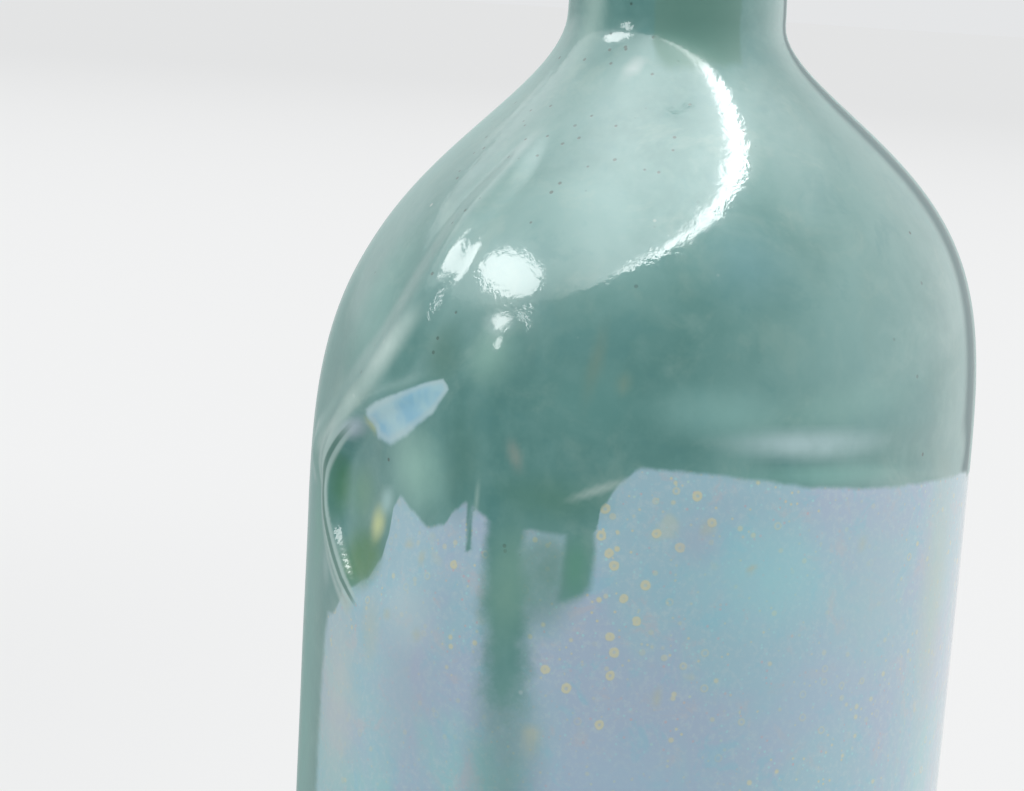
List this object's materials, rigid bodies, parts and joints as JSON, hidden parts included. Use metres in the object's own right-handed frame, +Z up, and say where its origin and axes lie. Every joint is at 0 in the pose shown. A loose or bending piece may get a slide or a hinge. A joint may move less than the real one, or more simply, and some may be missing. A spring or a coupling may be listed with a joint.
{
  "type": "antique glass bottle with cork",
  "caption": "Hand-blown cylinder bottle in milky aqua glass with a slumped, folded shoulder, pushed-up base, applied brandy lip and tapered cork that draws out.",
  "frame": {"origin": "centre of the ring that the bottle stands on, at the height of the surface under it", "axes": "+Z up along the bottle's axis towards the mouth, -Y towards the folded side, +X towards the side that slumped less"},
  "size_m": [0.0843, 0.0842, 0.2576],
  "materials": {
    "aqua_glass": "glossy milky aqua glass, clean green on the shoulder, blue and lilac iridescent patina with specks below the waist",
    "lip_glass": "glossy aqua glass, thicker and darker than the neck",
    "cork": "natural cork, mottled, with lenticels and a stained foot"
  },
  "bodies": {
    "bottle": {"vessel": "aqua_glass", "applied_lip": "lip_glass"},
    "stopper": {"cork": "cork"}
  },
  "joints": [
    {"name": "cork_draw", "type": "slide", "parent": "bottle", "child": "stopper", "axis": [0, 0, 1], "range_m": [0, 0.045]}
  ]
}
